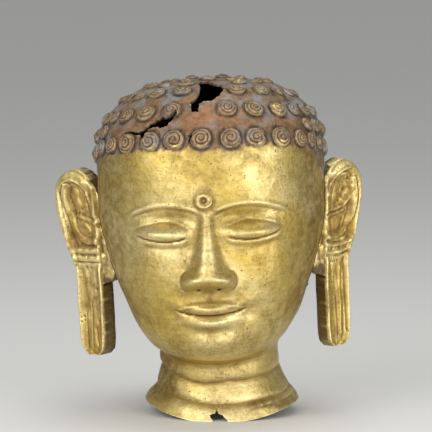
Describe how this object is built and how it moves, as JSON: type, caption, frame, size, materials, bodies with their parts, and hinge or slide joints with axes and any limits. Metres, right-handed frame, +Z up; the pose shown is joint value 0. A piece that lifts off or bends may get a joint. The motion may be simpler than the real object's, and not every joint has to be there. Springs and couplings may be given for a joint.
{
  "type": "gilt copper sculpture head",
  "caption": "Hollow gilt sheet-copper head with rows of snail-shell curls, calm lowered eyes, long split ear lobes and a flared neck rim that it stands on.",
  "frame": {"origin": "on the ground under the middle of the whole part's box", "axes": "+Z up, the face looks towards -Y, +X is the figure's own left"},
  "size_m": [0.2186, 0.1888, 0.2395],
  "materials": {
    "gilt_head": "worn fire gilding on copper; the hair browned, with traces of blue-grey pigment",
    "gilt_ears": "worn fire gilding on copper, with dirt in the grooves"
  },
  "bodies": {
    "root": {"head": "gilt_head", "left_ear": "gilt_ears", "right_ear": "gilt_ears"}
  },
  "joints": []
}
